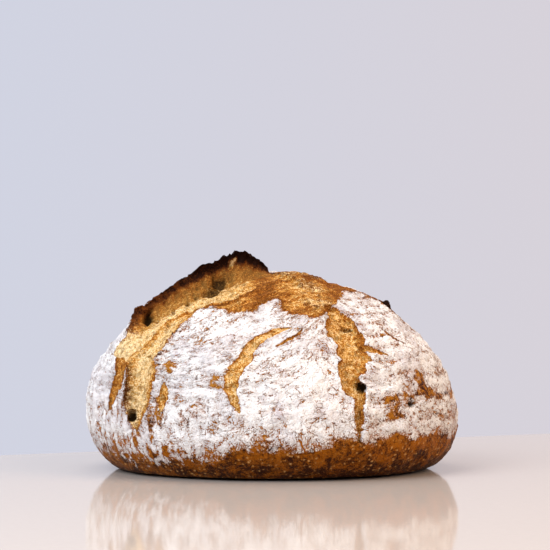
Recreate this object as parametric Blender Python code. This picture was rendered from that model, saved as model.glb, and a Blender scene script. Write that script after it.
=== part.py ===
"""A round hearth loaf of sourdough: one baked piece with scored openings and a raised ear.

The loaf stands on its flat foot at the origin, +Z up, with its front towards -Y. Its skin is worked out in
three steps: a grid on a ball, the ball pressed into an uncut dome, and the scores and the ear opened in
that dome. A score is a track over the crust, given by a few stations.
"""

import bmesh
import bpy
import numpy as np

# Driving sizes, in metres
WIDTH = 0.220
DEPTH = 0.208
BELLY_HEIGHT = 0.033
DOME_HEIGHT = 0.082

# The skin below the belly curves in to a foot: squarer than a circle, cut off flat by the oven stone. The
# middle of the foot is flat, and its rim, at a larger share of the loaf's half width, rises a little
FOOT_POWER = 2.6
FOOT_DROP = 1.42
FOOT_SHARE = 0.50
FOOT_RIM_SHARE = 0.82
RIM_RISE = 0.0014
BELLY_SWAY = 0.005

# How far the dome's shoulders are drawn in, and how much more so on the left
PINCH = 0.020
PINCH_LEFT = 0.42

# Grid: cuts along each edge of the cube that is blown up into a ball, and how strongly it gathers
CUBE_CUTS = 29
GATHER = 0.38
GATHER_TOWARDS = (-0.25, -0.75, 0.61)

# The long score, whose far lip lifted into an ear: (x, y, z, lift of the lip)
EAR_LIP = (
    (-0.075, -0.075, 0.025, 0.000),
    (-0.082, -0.069, 0.037, 0.001),
    (-0.084, -0.061, 0.055, 0.001),
    (-0.088, -0.044, 0.067, 0.001),
    (-0.085, -0.031, 0.078, 0.002),
    (-0.080, -0.020, 0.088, 0.005),
    (-0.064, -0.010, 0.100, 0.006),
    (-0.050, -0.007, 0.107, 0.009),
    (-0.034, -0.005, 0.112, 0.013),
    (-0.020, -0.004, 0.115, 0.018),
    (-0.008, -0.001, 0.116, 0.008),
    (-0.002, 0.002, 0.116, 0.002),
    (0.015, 0.006, 0.115, 0.001),
    (0.036, 0.004, 0.111, 0.001),
    (0.056, -0.001, 0.104, 0.001),
    (0.068, -0.005, 0.096, 0.002),
    (0.084, -0.006, 0.084, 0.000),
)
# The near edge of the same score: (x, y, z, height of its torn rim)
PLATE_EDGE = (
    (-0.075, -0.075, 0.025, 0.000),
    (-0.069, -0.081, 0.038, 0.001),
    (-0.066, -0.079, 0.054, 0.001),
    (-0.065, -0.073, 0.066, 0.001),
    (-0.053, -0.063, 0.083, 0.001),
    (-0.040, -0.058, 0.093, 0.001),
    (-0.022, -0.065, 0.093, 0.001),
    (0.002, -0.058, 0.100, 0.001),
    (0.014, -0.063, 0.096, 0.001),
    (0.031, -0.048, 0.100, 0.001),
    (0.048, -0.024, 0.104, 0.001),
    (0.064, -0.012, 0.098, 0.001),
    (0.084, -0.007, 0.084, 0.000),
)
LIP_LEAN = 0.35
FLAP_REACH = 0.030
FACE_SHARE = 0.30
VALLEY_DEPTH = 0.0050
EDGE_RAMP = 0.009

# The narrower scores: (x, y, z, width), each with its depth
SIDE_SCORES = (
    (
        0.0040,
        (
            (0.029, -0.050, 0.102, 0.008),
            (0.036, -0.067, 0.091, 0.019),
            (0.041, -0.076, 0.082, 0.020),
            (0.047, -0.086, 0.067, 0.016),
            (0.045, -0.090, 0.057, 0.014),
            (0.046, -0.093, 0.046, 0.007),
            (0.046, -0.095, 0.028, 0.003),
        ),
    ),
    (
        0.0015,
        (
            (0.007, -0.082, 0.083, 0.003),
            (-0.012, -0.089, 0.076, 0.006),
            (-0.023, -0.094, 0.063, 0.006),
            (-0.025, -0.098, 0.054, 0.006),
            (-0.020, -0.102, 0.036, 0.003),
        ),
    ),
    (
        0.0018,
        (
            (-0.085, -0.050, 0.066, 0.004),
            (-0.086, -0.058, 0.057, 0.006),
            (-0.089, -0.059, 0.047, 0.005),
            (-0.092, -0.057, 0.036, 0.003),
        ),
    ),
    (
        0.0040,
        (
            (0.004, 0.048, 0.105, 0.008),
            (0.014, 0.074, 0.088, 0.015),
            (0.010, 0.090, 0.068, 0.011),
            (0.002, 0.100, 0.046, 0.003),
        ),
    ),
    (
        0.0022,
        (
            (-0.052, 0.050, 0.092, 0.004),
            (-0.074, 0.050, 0.074, 0.008),
            (-0.083, 0.054, 0.054, 0.004),
        ),
    ),
    (
        0.0022,
        (
            (0.070, 0.040, 0.082, 0.004),
            (0.084, 0.052, 0.062, 0.008),
            (0.080, 0.064, 0.042, 0.004),
        ),
    ),
)

STEPS_PER_SPAN = 8

# Softening of the finished skin: from what height, how many times, how far towards the neighbours
SOFTEN_ABOVE = 0.012
SOFTEN_TIMES = 2
SOFTEN_SHARE = 0.35

CRUST_COLOUR = (0.46, 0.20, 0.055, 1.0)
CRUST_ROUGHNESS = 0.75


def clear_scene():
    for old in list(bpy.data.objects):
        bpy.data.objects.remove(old, do_unlink=True)


def unit(vectors):
    return vectors / np.linalg.norm(vectors, axis=-1, keepdims=True)


def dot(a, b):
    return np.sum(a * b, axis=-1)


def ease(share):
    """0 to 1 with level ends, for a share that may run past them."""
    share = np.clip(share, 0.0, 1.0)
    return share * share * (3.0 - 2.0 * share)


def gathered(balls):
    """The points of a ball drawn towards one side of it, with no fold: each turns towards the pole
    as light does for a moving eye."""
    pole = unit(np.array(GATHER_TOWARDS))
    along = balls @ pole
    across = balls - along[:, None] * pole
    new_along = (along + GATHER) / (1.0 + GATHER * along)
    shrink = np.sqrt((1.0 - new_along**2) / np.maximum(1.0 - along**2, 1e-12))
    return new_along[:, None] * pole + shrink[:, None] * across


def dome(ball):
    """The uncut loaf: half an ellipsoid above the belly line, drawn in a little at its shoulders, and a
    squarer, flattened curve below it. The belly line sits lower on the right, where the dough spread."""
    x, y, z = ball.T
    level = np.sqrt(x * x + y * y)
    belly = BELLY_HEIGHT - BELLY_SWAY * x / np.maximum(level, 0.2)
    below = z < 0.0
    power = 2.0 / FOOT_POWER
    swell = np.where(below, np.maximum(level, 1e-9) ** (power - 1.0), 1.0)
    drop = FOOT_DROP * belly * np.abs(z) ** power
    rim = RIM_RISE * np.clip((level**power - FOOT_SHARE) / (FOOT_RIM_SHARE - FOOT_SHARE), 0.0, 1.0) ** 2
    height = np.where(below, np.maximum(belly - drop, rim), belly + (BELLY_HEIGHT + DOME_HEIGHT - belly) * z)
    pinch = np.where(below, 1.0, 1.0 - PINCH * (1.0 - PINCH_LEFT * x) * (2.0 * z * level) ** 2)
    swell *= pinch
    height = np.where(below, height, belly + (height - belly) * pinch)
    return np.stack((WIDTH / 2 * x * swell, DEPTH / 2 * y * swell, height), axis=-1)


def on_ball(places):
    """The ball point that the dome carries to the crust above or below each place."""
    x, y, z = np.asarray(places).T
    rise = z - BELLY_HEIGHT
    tall = np.where(rise > 0.0, DOME_HEIGHT, BELLY_HEIGHT)
    return unit(np.stack((x / (WIDTH / 2), y / (DEPTH / 2), rise / tall), axis=-1))


def outward(ball):
    """The dome's outward direction at each ball point."""
    x, y, z = ball.T
    tall = np.where(z > 0.0, DOME_HEIGHT, BELLY_HEIGHT)
    return unit(np.stack((x / (WIDTH / 2), y / (DEPTH / 2), z / tall), axis=-1))


class Track:
    """A score's line over the dome: a smooth curve through its stations, each with one size of its own."""

    def __init__(self, stations):
        stations = np.array(stations)
        curve = smooth_curve(stations)
        balls = on_ball(curve[:, :3])
        self.points = dome(balls)
        self.sizes = curve[:, 3]
        self.sides = unit(np.cross(np.gradient(self.points, axis=0), outward(balls)))

    def measure(self, places):
        """For each place: its distance from the line, positive on the line's right-hand side,
        the direction of that side, and the size at the nearest point of the line."""
        starts = self.points[:-1]
        spans = self.points[1:] - starts
        from_start = places[:, None, :] - starts
        share = np.clip(dot(from_start, spans) / dot(spans, spans), 0.0, 1.0)
        gap = from_start - share[..., None] * spans
        nearest = np.argmin(dot(gap, gap), axis=1)
        row = np.arange(len(places))
        share, gap = share[row, nearest], gap[row, nearest]
        side = unit(
            (1.0 - share)[:, None] * self.sides[nearest] + share[:, None] * self.sides[nearest + 1]
        )
        size = (1.0 - share) * self.sizes[nearest] + share * self.sizes[nearest + 1]
        distance = np.linalg.norm(gap, axis=1) * np.sign(dot(gap, side))
        return distance, side, size


def smooth_curve(stations):
    """Catmull-Rom curve through the stations, with the ends carried straight on."""
    first = 2 * stations[0] - stations[1]
    last = 2 * stations[-1] - stations[-2]
    padded = np.vstack((first, stations, last))
    t = np.linspace(0.0, 1.0, STEPS_PER_SPAN, endpoint=False)[:, None]
    spans = []
    for a, b, c, d in zip(padded, padded[1:], padded[2:], padded[3:]):
        bend = t**2 * (a - 2.5 * b + 2 * c - d / 2)
        twist = t**3 * (3 * (b - c) + d - a) / 2
        spans.append(b + t * (c - a) / 2 + bend + twist)
    return np.vstack((*spans, stations[-1:]))


def open_long_score(places, normals):
    """Moves the dome's points for the long score: the flap behind it lifts to the lip and leans over,
    the cut face drops from the lip to the valley, and the valley meets the near edge in a short ramp."""
    to_lip, lip_side, lift = Track(EAR_LIP).measure(places)
    to_edge, _, rim = Track(PLATE_EDGE).measure(places)
    flap = -to_lip
    inside = (flap < 0.0) & (to_edge < 0.0)
    width = np.abs(to_lip) + np.abs(to_edge)
    face = np.clip(FACE_SHARE * width, 0.002, 0.012)
    lean = LIP_LEAN * lift

    behind = ease(1.0 - flap / FLAP_REACH) ** 2
    rise = np.where(flap >= 0.0, lift * behind, 0.0)
    shift = np.where(flap >= 0.0, lean * behind, 0.0)

    down = np.clip(-flap / face, 0.0, 1.0)
    depth = VALLEY_DEPTH * ease(width / 0.016) * ease(-to_edge / EDGE_RAMP)
    rise = np.where(inside, (lift + depth) * (1.0 - ease(down)) - depth, rise)
    reached = lean * (1.0 - down) + 0.8 * face * down**2
    eased_out = ease(1.0 - (-flap - face) / np.maximum(width - face, 1e-4))
    shift = np.where(inside, np.where(down < 1.0, reached + flap, -0.2 * face * eased_out), shift)

    near = ease(1.0 - to_edge / 0.006)
    rise = np.where(~inside & (flap < 0.0), rim * near, rise)
    return rise[:, None] * normals + shift[:, None] * lip_side


def open_side_score(stations, depth, places, normals):
    """Moves the dome's points for a narrow score: a rounded groove, bell-shaped across."""
    distance, _, width = Track(stations).measure(places)
    across = np.abs(distance) / (width / 2)
    return -depth * np.exp(-(across**4) / 2)[:, None] * normals


def crust_points(ball):
    """The loaf's skin for each point of the ball, with the foot kept flat."""
    places = dome(ball)
    normals = outward(ball)
    moved = places + open_long_score(places, normals)
    for depth, stations in SIDE_SCORES:
        moved += open_side_score(stations, depth, places, normals)
    moved[:, 2] = np.where(places[:, 2] <= 0.0, 0.0, np.maximum(moved[:, 2], 0.0))
    return moved


def soften(mesh):
    """Eases the torn edges where they cross the grid: each point above the foot moves part of the way to the
    middle of its neighbours."""
    shape = bmesh.new()
    shape.from_mesh(mesh)
    raised = [vert for vert in shape.verts if vert.co.z > SOFTEN_ABOVE]
    for _ in range(SOFTEN_TIMES):
        bmesh.ops.smooth_vert(
            shape, verts=raised, factor=SOFTEN_SHARE, use_axis_x=True, use_axis_y=True, use_axis_z=True
        )
    shape.to_mesh(mesh)
    shape.free()


def build_loaf():
    shape = bmesh.new()
    bmesh.ops.create_cube(shape, size=2.0)
    bmesh.ops.subdivide_edges(shape, edges=shape.edges[:], cuts=CUBE_CUTS, use_grid_fill=True)
    mesh = bpy.data.meshes.new("sourdough_loaf")
    shape.to_mesh(mesh)
    shape.free()

    corners = np.empty(len(mesh.vertices) * 3)
    mesh.vertices.foreach_get("co", corners)
    evened = np.tan(corners.reshape(-1, 3) * np.pi / 4)
    skin = crust_points(gathered(unit(evened)))
    low, high = skin.min(axis=0), skin.max(axis=0)
    skin[:, :2] -= (low + high)[:2] / 2
    mesh.vertices.foreach_set("co", skin.ravel())
    soften(mesh)
    mesh.update()
    mesh.shade_smooth()

    loaf = bpy.data.objects.new("sourdough_loaf", mesh)
    bpy.context.scene.collection.objects.link(loaf)
    loaf.data.materials.append(crust_material())
    return loaf


def crust_material():
    material = bpy.data.materials.new("baked_crust")
    material.use_nodes = True
    shader = material.node_tree.nodes["Principled BSDF"]
    shader.inputs["Base Color"].default_value = CRUST_COLOUR
    shader.inputs["Roughness"].default_value = CRUST_ROUGHNESS
    shader.inputs["Metallic"].default_value = 0.0
    return material


clear_scene()
build_loaf()
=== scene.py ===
"""A round hearth loaf of sourdough: dusted with flour, scored, and baked until a flap lifted into a dark ear.

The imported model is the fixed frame. The loaf here is one closed skin on a grid, opened by the same scores as
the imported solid, with the torn edges, crumb, pores, crackled flour and blisters that the solid leaves out.
"""

import bpy
import numpy as np
from bpy.props import FloatProperty, FloatVectorProperty, IntProperty, PointerProperty
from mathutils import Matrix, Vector


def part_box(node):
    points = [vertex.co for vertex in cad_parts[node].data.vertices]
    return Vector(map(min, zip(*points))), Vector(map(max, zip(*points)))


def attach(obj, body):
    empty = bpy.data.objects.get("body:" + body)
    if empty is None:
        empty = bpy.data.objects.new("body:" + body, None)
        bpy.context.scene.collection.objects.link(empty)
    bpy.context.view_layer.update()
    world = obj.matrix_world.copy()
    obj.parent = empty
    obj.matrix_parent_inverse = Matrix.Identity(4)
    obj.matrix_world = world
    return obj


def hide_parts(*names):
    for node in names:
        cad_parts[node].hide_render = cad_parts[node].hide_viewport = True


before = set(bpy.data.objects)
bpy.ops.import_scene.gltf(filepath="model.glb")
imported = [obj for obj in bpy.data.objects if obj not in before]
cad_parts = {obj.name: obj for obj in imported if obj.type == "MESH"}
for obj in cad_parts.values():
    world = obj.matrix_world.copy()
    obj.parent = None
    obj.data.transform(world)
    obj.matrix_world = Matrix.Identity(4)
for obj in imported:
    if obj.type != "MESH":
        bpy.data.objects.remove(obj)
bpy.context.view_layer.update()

bl_info = {
    "name": "Sourdough Loaf",
    "version": (1, 0, 0),
    "blender": (4, 5, 0),
    "location": "3D View > Sidebar > Loaf",
    "description": "A floured, scored and baked sourdough loaf built around its packed model",
    "category": "Add Mesh",
}

NODE = "sourdough_loaf"
LOW, HIGH = (np.array(corner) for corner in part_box(NODE))

# ----------------------------------------------------------------------------------------------------
# Lines over the crust, in metres. Each station is a place on the uncut dome, then sizes at that place.

# The far lip of the long score: lift of the lip, swell of the flap behind it, how burnt it is, and how deep
# the crumb lies under it
EAR_LIP = (
    (-0.075, -0.075, 0.029, 0.0000, 0.0000, 0.05, 0.0010),
    (-0.079, -0.072, 0.032, 0.0005, 0.0000, 0.25, 0.0030),
    (-0.082, -0.069, 0.037, 0.0010, 0.0000, 0.32, 0.0040),
    (-0.082, -0.067, 0.049, 0.0016, 0.0000, 0.42, 0.0050),
    (-0.082, -0.061, 0.060, 0.0010, 0.0000, 0.20, 0.0045),
    (-0.087, -0.050, 0.064, 0.0003, 0.0000, 0.00, 0.0022),
    (-0.092, -0.040, 0.065, 0.0002, 0.0000, 0.00, 0.0008),
    (-0.090, -0.036, 0.070, 0.0004, 0.0000, 0.00, 0.0010),
    (-0.085, -0.036, 0.075, 0.0006, 0.0000, 0.05, 0.0024),
    (-0.083, -0.031, 0.080, 0.0022, 0.0008, 0.45, 0.0045),
    (-0.080, -0.020, 0.088, 0.0058, 0.0025, 0.66, 0.0055),
    (-0.075, -0.015, 0.093, 0.0050, 0.0030, 0.62, 0.0055),
    (-0.064, -0.010, 0.100, 0.0054, 0.0040, 0.66, 0.0060),
    (-0.050, -0.007, 0.107, 0.0084, 0.0060, 0.80, 0.0060),
    (-0.034, -0.005, 0.112, 0.0118, 0.0080, 0.95, 0.0050),
    (-0.023, -0.004, 0.114, 0.0130, 0.0090, 1.00, 0.0035),
    (-0.020, -0.004, 0.115, 0.0150, 0.0090, 1.00, 0.0030),
    (-0.014, -0.003, 0.115, 0.0130, 0.0080, 1.00, 0.0020),
    (-0.008, -0.001, 0.116, 0.0080, 0.0050, 0.90, 0.0010),
    (-0.005, 0.001, 0.116, 0.0050, 0.0040, 0.80, 0.0000),
    (-0.0015, 0.003, 0.116, 0.0003, 0.0040, 0.50, -0.0010),
    (0.012, 0.006, 0.115, 0.0005, 0.0020, 0.25, -0.0020),
    (0.026, 0.006, 0.113, 0.0010, 0.0010, 0.45, -0.0015),
    (0.036, 0.003, 0.110, 0.0000, 0.0000, 0.20, 0.0005),
    (0.056, -0.001, 0.104, 0.0005, 0.0005, 0.25, 0.0005),
    (0.064, -0.004, 0.099, 0.0012, 0.0005, 0.60, 0.0005),
    (0.068, -0.005, 0.096, 0.0045, 0.0000, 1.00, 0.0005),
    (0.071, -0.005, 0.094, 0.0003, 0.0000, 0.50, 0.0005),
    (0.084, -0.006, 0.084, 0.0000, 0.0000, 0.00, 0.0000),
)
# The near edge of the same score: height of its torn rim, how ragged it is, and how wide the bare crust along
# it is
PLATE_EDGE = (
    (-0.075, -0.075, 0.029, 0.0000, 0.0004, 0.0008),
    (-0.071, -0.079, 0.033, 0.0004, 0.0008, 0.0010),
    (-0.069, -0.081, 0.038, 0.0010, 0.0014, 0.0014),
    (-0.067, -0.080, 0.050, 0.0010, 0.0014, 0.0014),
    (-0.064, -0.078, 0.059, 0.0012, 0.0012, 0.0026),
    (-0.066, -0.073, 0.065, 0.0014, 0.0010, 0.0042),
    (-0.061, -0.070, 0.072, 0.0014, 0.0010, 0.0036),
    (-0.053, -0.063, 0.083, 0.0012, 0.0014, 0.0018),
    (-0.046, -0.061, 0.088, 0.0010, 0.0016, 0.0016),
    (-0.040, -0.057, 0.093, 0.0008, 0.0018, 0.0014),
    (-0.031, -0.061, 0.094, 0.0008, 0.0022, 0.0018),
    (-0.022, -0.066, 0.092, 0.0008, 0.0026, 0.0024),
    (-0.009, -0.065, 0.095, 0.0008, 0.0028, 0.0024),
    (0.002, -0.057, 0.100, 0.0008, 0.0026, 0.0018),
    (0.007, -0.068, 0.092, 0.0008, 0.0026, 0.0020),
    (0.016, -0.070, 0.090, 0.0008, 0.0022, 0.0018),
    (0.025, -0.069, 0.089, 0.0008, 0.0016, 0.0016),
    (0.031, -0.060, 0.093, 0.0008, 0.0012, 0.0016),
    (0.036, -0.048, 0.098, 0.0006, 0.0012, 0.0016),
    (0.040, -0.034, 0.103, 0.0006, 0.0014, 0.0022),
    (0.044, -0.018, 0.106, 0.0006, 0.0014, 0.0026),
    (0.062, -0.009, 0.099, 0.0006, 0.0012, 0.0026),
    (0.084, -0.007, 0.084, 0.0000, 0.0006, 0.0010),
)
# The fold inside the long opening, where a second layer of crumb tore: its height
FOLD = (
    (-0.081, -0.066, 0.053, 0.0002),
    (-0.081, -0.060, 0.062, 0.0014),
    (-0.079, -0.056, 0.069, 0.0018),
    (-0.074, -0.056, 0.073, 0.0018),
    (-0.062, -0.051, 0.086, 0.0018),
    (-0.050, -0.047, 0.095, 0.0016),
    (-0.040, -0.044, 0.101, 0.0016),
    (-0.024, -0.049, 0.102, 0.0014),
    (-0.010, -0.042, 0.105, 0.0012),
    (0.004, -0.030, 0.109, 0.0012),
    (0.020, -0.024, 0.111, 0.0010),
    (0.034, -0.014, 0.111, 0.0004),
)
# The narrower scores: stations with the width at each
RIGHT_SCORE = (
    (0.035, -0.058, 0.093, 0.010),
    (0.038, -0.064, 0.088, 0.017),
    (0.040, -0.070, 0.083, 0.020),
    (0.044, -0.077, 0.074, 0.018),
    (0.046, -0.082, 0.067, 0.015),
    (0.043, -0.087, 0.061, 0.011),
    (0.044, -0.090, 0.054, 0.012),
    (0.048, -0.091, 0.048, 0.007),
    (0.048, -0.093, 0.039, 0.006),
    (0.048, -0.094, 0.029, 0.003),
)
RIGHT_CRACK = (
    (0.051, -0.073, 0.074, 0.004),
    (0.056, -0.071, 0.073, 0.003),
    (0.064, -0.067, 0.070, 0.001),
)
THIN_CRACK = (
    (0.062, -0.053, 0.084, 0.0012),
    (0.068, -0.052, 0.079, 0.0020),
    (0.074, -0.050, 0.075, 0.0008),
)
CENTRE_SCORE = (
    (0.010, -0.078, 0.084, 0.0010),
    (0.004, -0.080, 0.083, 0.0035),
    (-0.005, -0.084, 0.079, 0.0045),
    (-0.011, -0.088, 0.074, 0.0060),
    (-0.015, -0.092, 0.067, 0.0075),
    (-0.020, -0.095, 0.061, 0.0075),
    (-0.022, -0.098, 0.055, 0.0072),
    (-0.022, -0.100, 0.048, 0.0060),
    (-0.018, -0.102, 0.038, 0.0020),
)
PLATE_CRACK = (
    (0.017, -0.076, 0.084, 0.0010),
    (0.014, -0.081, 0.080, 0.0022),
    (0.008, -0.084, 0.077, 0.0016),
    (0.002, -0.087, 0.074, 0.0006),
)
LEFT_SPLIT = (
    (-0.087, -0.048, 0.066, 0.010),
    (-0.086, -0.054, 0.062, 0.012),
    (-0.087, -0.058, 0.055, 0.010),
    (-0.090, -0.059, 0.046, 0.008),
    (-0.092, -0.057, 0.035, 0.004),
)
SLIVER_TEAR = (
    (-0.060, -0.084, 0.052, 0.001),
    (-0.060, -0.085, 0.046, 0.005),
    (-0.061, -0.086, 0.041, 0.005),
    (-0.062, -0.086, 0.034, 0.001),
)
BACK_SCORE = (
    (0.004, 0.048, 0.105, 0.008),
    (0.014, 0.074, 0.088, 0.015),
    (0.010, 0.090, 0.068, 0.011),
    (0.002, 0.100, 0.046, 0.003),
)
BACK_LEFT_SCORE = (
    (-0.052, 0.050, 0.092, 0.003),
    (-0.074, 0.050, 0.074, 0.008),
    (-0.083, 0.054, 0.054, 0.003),
)
BACK_RIGHT_SCORE = (
    (0.070, 0.040, 0.082, 0.003),
    (0.084, 0.052, 0.062, 0.008),
    (0.080, 0.064, 0.042, 0.003),
)
# Depth of each narrower score and how brown the crumb in it is
SIDE_SCORES = (
    (0.0035, 0.46, RIGHT_SCORE),
    (0.0012, 0.38, CENTRE_SCORE),
    (0.0012, 0.60, RIGHT_CRACK),
    (0.0008, 0.95, THIN_CRACK),
    (0.0008, 0.75, PLATE_CRACK),
    (0.0010, 0.74, LEFT_SPLIT),
    (0.0008, 0.55, SLIVER_TEAR),
    (0.0040, 0.50, BACK_SCORE),
    (0.0020, 0.50, BACK_LEFT_SCORE),
    (0.0020, 0.50, BACK_RIGHT_SCORE),
)
# Holes seen from the front: place on the opened skin, half width, half height, depth, how dark the painted
# shade in it is
HOLES = (
    (-0.0775, -0.069, 0.034, 0.0018, 0.0026, 0.006, 1.00),
    (0.050, -0.084, 0.051, 0.0020, 0.0023, 0.007, 1.00),
    (0.077, -0.073, 0.042, 0.0018, 0.0016, 0.003, 0.85),
    (0.042, -0.064, 0.084, 0.0034, 0.0008, 0.002, 0.70),
    (-0.0720, -0.018, 0.0875, 0.0028, 0.0050, 0.006, 0.92),
    (-0.0310, -0.006, 0.1075, 0.0040, 0.0028, 0.004, 0.80),
    (-0.0355, -0.012, 0.1030, 0.0046, 0.0026, 0.004, 0.74),
    (-0.044, -0.012, 0.1005, 0.0014, 0.0009, 0.002, 0.60),
    (-0.050, -0.018, 0.097, 0.0015, 0.0010, 0.002, 0.55),
    (-0.058, -0.020, 0.092, 0.0012, 0.0012, 0.002, 0.60),
    (-0.066, -0.026, 0.086, 0.0018, 0.0012, 0.002, 0.55),
)
# Scraps torn off the char, down to pale crumb: place on the opened skin and radius
TORN = (
    (-0.0240, -0.007, 0.1200, 0.0014),
    (-0.0235, -0.007, 0.1218, 0.0013),
    (-0.0215, -0.006, 0.1232, 0.0010),
)
# Bald patches in the flour: place and radius
BALD = (
    (-0.057, -0.080, 0.062, 0.0020),
    (-0.054, -0.082, 0.064, 0.0018),
    (-0.056, -0.083, 0.059, 0.0012),
    (0.066, -0.080, 0.042, 0.0050),
    (0.076, -0.074, 0.043, 0.0036),
    (0.084, -0.059, 0.054, 0.0045),
    (0.088, -0.057, 0.048, 0.0030),
    (-0.032, -0.094, 0.055, 0.0026),
    (-0.030, -0.098, 0.047, 0.0022),
)
# Height of the lower edge of the flour against the bearing, in degrees from the front towards the right
FLOUR_EDGE = (
    (-180, 0.021),
    (-130, 0.022),
    (-95, 0.017),
    (-67, 0.012),
    (-50, 0.004),
    (-28, 0.003),
    (-15, 0.012),
    (-5, 0.022),
    (10, 0.019),
    (20, 0.023),
    (50, 0.020),
    (80, 0.017),
    (120, 0.023),
    (180, 0.021),
)


# ----------------------------------------------------------------------------------------------------
# Sizes and colours a user would change


def length_property(name, description, metres):
    return FloatProperty(name=name, description=description, default=metres, unit="LENGTH")


def power_property(name, description, watts):
    return FloatProperty(name=name, description=description, default=watts, unit="POWER")


def colour_property(name, description, red, green, blue):
    return FloatVectorProperty(
        name=name, description=description, default=(red, green, blue), subtype="COLOR", min=0.0, max=1.0
    )


class LoafSizes(bpy.types.PropertyGroup):
    cells: IntProperty(
        name="Cells", description="Grid cells along each of the six patches", default=129, min=16, max=129
    )
    width: length_property("Width", "Width of the uncut loaf", float(HIGH[0] - LOW[0]))
    depth: length_property("Depth", "Front to back of the uncut loaf", float(HIGH[1] - LOW[1]))
    belly: length_property("Belly height", "Height at which the loaf is widest", 0.033)
    dome: length_property("Dome height", "Height of the crown above the belly", 0.082)
    ring_spacing: length_property("Ring spacing", "Distance between the proving basket's rings", 0.0078)
    relief: FloatProperty(
        name="Relief", description="Strength of the small lumps", default=1.0, subtype="FACTOR"
    )


class LoafColours(bpy.types.PropertyGroup):
    flour: colour_property("Flour", "Thick dusting of flour", 0.90, 0.89, 0.89)
    # Painted shade: a lilac grey mixed into the white flour in soft noise patches
    flour_painted_shade: colour_property("Shaded flour", "Hollows of the flour", 0.55, 0.49, 0.52)
    thin_flour: colour_property("Thin flour", "Crust seen through a little flour", 0.52, 0.33, 0.26)
    crust: colour_property("Crust", "Bare crust in the cracks of the flour", 0.27, 0.085, 0.012)
    tawny: colour_property("Tawny crust", "Lighter bare crust, between the cracks", 0.47, 0.19, 0.012)
    amber: colour_property("Amber crust", "Bare crust of the lower band", 0.335, 0.096, 0.001)
    # Also the colour of the painted shade on the lower band's right side
    base: colour_property("Base", "Dark crust near the foot", 0.040, 0.009, 0.002)
    blister: colour_property("Blister", "Small blisters on the lower band", 0.62, 0.34, 0.12)
    pale_crumb: colour_property("Pale crumb", "Least baked crumb in the openings", 0.88, 0.67, 0.38)
    gold_crumb: colour_property("Golden crumb", "Golden crumb of the openings", 0.63, 0.325, 0.062)
    brown_crumb: colour_property("Brown crumb", "Browned ridges of the crumb", 0.36, 0.105, 0.010)
    # Painted shade: this colour darkens the crumb's pores and pits, and the cut face under the ear
    pore: colour_property("Pore", "Shaded pores of the crumb", 0.270, 0.150, 0.038)
    scorch: colour_property("Scorch", "Dark brown crust beside the char", 0.075, 0.020, 0.005)
    # Painted shade: the near-black put into the large holes
    hollow: colour_property("Hollow", "Depth of the large holes", 0.034, 0.017, 0.005)
    char: colour_property("Char", "Burnt edge of the ear", 0.014, 0.004, 0.002)


class LoafStage(bpy.types.PropertyGroup):
    floor: colour_property("Floor", "Pale worktop", 0.585, 0.515, 0.465)
    air: colour_property("Backdrop", "What shows behind the loaf, at the left", 0.635, 0.655, 0.760)
    warm_air: colour_property("Warm backdrop", "What shows behind it, at the right", 0.680, 0.645, 0.700)
    ambient: colour_property("Room light", "Even light from all around", 0.48, 0.46, 0.47)
    key_power: power_property("Key light", "Large window light at the left", 21.5)
    fill_power: power_property("Fill light", "Warm light at the right", 12.0)
    top_power: power_property("Top light", "Soft light overhead", 5.0)
    lens: FloatProperty(name="Lens", description="Focal length of the camera", default=120.0, unit="CAMERA")


# ----------------------------------------------------------------------------------------------------
# Small sums on whole arrays


def unit(vectors):
    return vectors / np.linalg.norm(vectors, axis=-1, keepdims=True)


def dot(a, b):
    return np.sum(a * b, axis=-1)


def ease(share):
    """0 to 1 with level ends, for a share that may run past them."""
    share = np.clip(share, 0.0, 1.0)
    return share * share * (3.0 - 2.0 * share)


def bump(gap, reach):
    """A bell: 1 at no gap, near nothing past twice the reach."""
    return np.exp(-((gap / reach) ** 2))


class Noise:
    """Seeded noise in space. hills() is gradient noise: every corner of a unit cell has a random slope, and a
    point blends the eight slopes around it. spots() scatters one point in every unit cell and measures to the
    nearest."""

    def __init__(self, seed):
        picker = np.random.default_rng(seed)
        self.order = picker.permutation(256)
        self.slopes = unit(picker.normal(size=(256, 3)))
        self.scatter = picker.random((256, 4))

    def label(self, cell):
        x, y, z = (cell % 256).T
        return self.order[(self.order[(self.order[x] + y) % 256] + z) % 256]

    def hills(self, at):
        cell = np.floor(at).astype(int)
        part = at - cell
        smooth = part**3 * (part * (part * 6.0 - 15.0) + 10.0)
        total = np.zeros(len(at))
        for corner in np.ndindex(2, 2, 2):
            weight = np.prod(np.where(corner, smooth, 1.0 - smooth), axis=1)
            total += weight * dot(self.slopes[self.label(cell + corner)], part - corner)
        return 1.7 * total

    def layers(self, at, count):
        """Hills with finer, fainter hills on them."""
        total = np.zeros(len(at))
        for layer in range(count):
            total += self.hills(at * 2.03**layer + 17.0 * layer) * 0.55**layer
        return total

    def spots(self, at):
        """Distance to the nearest scattered point, and that point's own random number."""
        cell = np.floor(at).astype(int)
        nearest = np.full(len(at), 9.0)
        own = np.zeros(len(at))
        for step in np.ndindex(3, 3, 3):
            around = cell + step - 1
            drawn = self.scatter[self.label(around)]
            far = np.linalg.norm(around + drawn[:, :3] - at, axis=1)
            closer = far < nearest
            nearest = np.where(closer, far, nearest)
            own = np.where(closer, drawn[:, 3], own)
        return nearest, own


# ----------------------------------------------------------------------------------------------------
# The uncut loaf

# Below the belly: how square the curve is, and how many belly heights it would fall if nothing stopped it
FOOT_POWER = 2.6
FOOT_DROP = 1.42
# The flat foot's share of the radius, the share at which the rim around it is fully raised, and that rise
FOOT_SHARE = 0.50
FOOT_RIM_SHARE = 0.82
RIM_RISE = 0.0014
# How much lower the belly sits at the right, and higher at the left
BELLY_SWAY = 0.005
# How much the grid is drawn together, and towards which side
GATHER = 0.42
GATHER_TOWARDS = (-0.25, -0.75, 0.61)
# How much the shoulders are drawn in, and how much more so on the left
PINCH = 0.020
PINCH_LEFT = 0.42


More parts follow.
